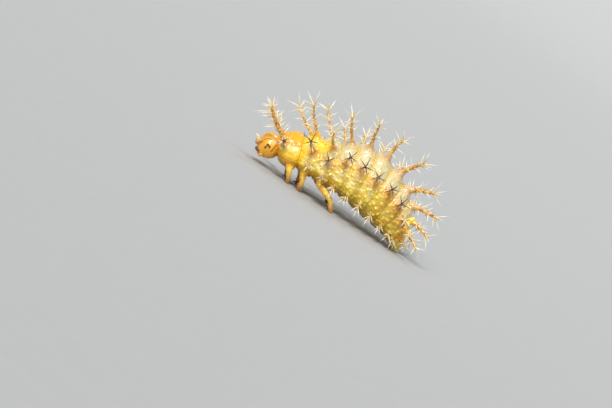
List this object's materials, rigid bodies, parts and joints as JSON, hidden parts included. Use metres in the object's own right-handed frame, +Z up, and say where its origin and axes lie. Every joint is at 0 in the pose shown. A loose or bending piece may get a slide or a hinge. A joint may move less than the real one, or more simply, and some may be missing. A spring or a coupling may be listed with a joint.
{
  "type": "leaf-eating ladybird beetle larva",
  "caption": "Life-size still model of a full-grown leaf-eating ladybird beetle larva with branched spines, standing on its legs and tail foot.",
  "frame": {"origin": "on the floor under the middle of the larva's length and width, at the level of its feet", "axes": "+X towards the tail, -X towards the head; -Y is the larva's left side; +Z up, away from the floor it stands on"},
  "size_m": [0.0102, 0.0065, 0.005],
  "materials": {
    "abdomen_1": "satin",
    "abdomen_2": "satin",
    "abdomen_3": "satin",
    "abdomen_4": "satin",
    "abdomen_5": "satin",
    "abdomen_6": "satin",
    "abdomen_7": "satin",
    "abdomen_8": "satin",
    "abdomen_tip": "satin",
    "claw_front_left": "gloss",
    "claw_front_right": "gloss",
    "claw_hind_left": "gloss",
    "claw_hind_right": "gloss",
    "claw_middle_left": "gloss",
    "claw_middle_right": "gloss",
    "eyes_left": "gloss",
    "eyes_right": "gloss",
    "feeler_left": "satin",
    "feeler_right": "satin",
    "femur_front_left": "satin",
    "femur_front_right": "satin",
    "femur_hind_left": "satin",
    "femur_hind_right": "satin",
    "femur_middle_left": "satin",
    "femur_middle_right": "satin",
    "head": "semi-gloss",
    "jaw_left": "gloss",
    "jaw_right": "gloss",
    "lip": "satin",
    "mesothorax": "satin",
    "metathorax": "satin",
    "palp_left": "satin",
    "palp_right": "satin",
    "prothorax": "satin",
    "tibia_front_left": "satin",
    "tibia_front_right": "satin",
    "tibia_hind_left": "satin",
    "tibia_hind_right": "satin",
    "tibia_middle_left": "satin",
    "tibia_middle_right": "satin"
  },
  "bodies": {
    "root": {"abdomen_1": "abdomen_1", "abdomen_2": "abdomen_2", "abdomen_3": "abdomen_3", "abdomen_4": "abdomen_4", "abdomen_5": "abdomen_5", "abdomen_6": "abdomen_6", "abdomen_7": "abdomen_7", "abdomen_8": "abdomen_8", "abdomen_tip": "abdomen_tip", "claw_front_left": "claw_front_left", "claw_front_right": "claw_front_right", "claw_hind_left": "claw_hind_left", "claw_hind_right": "claw_hind_right", "claw_middle_left": "claw_middle_left", "claw_middle_right": "claw_middle_right", "eyes_left": "eyes_left", "eyes_right": "eyes_right", "feeler_left": "feeler_left", "feeler_right": "feeler_right", "femur_front_left": "femur_front_left", "femur_front_right": "femur_front_right", "femur_hind_left": "femur_hind_left", "femur_hind_right": "femur_hind_right", "femur_middle_left": "femur_middle_left", "femur_middle_right": "femur_middle_right", "head": "head", "jaw_left": "jaw_left", "jaw_right": "jaw_right", "lip": "lip", "mesothorax": "mesothorax", "metathorax": "metathorax", "palp_left": "palp_left", "palp_right": "palp_right", "prothorax": "prothorax", "tibia_front_left": "tibia_front_left", "tibia_front_right": "tibia_front_right", "tibia_hind_left": "tibia_hind_left", "tibia_hind_right": "tibia_hind_right", "tibia_middle_left": "tibia_middle_left", "tibia_middle_right": "tibia_middle_right"}
  },
  "joints": []
}
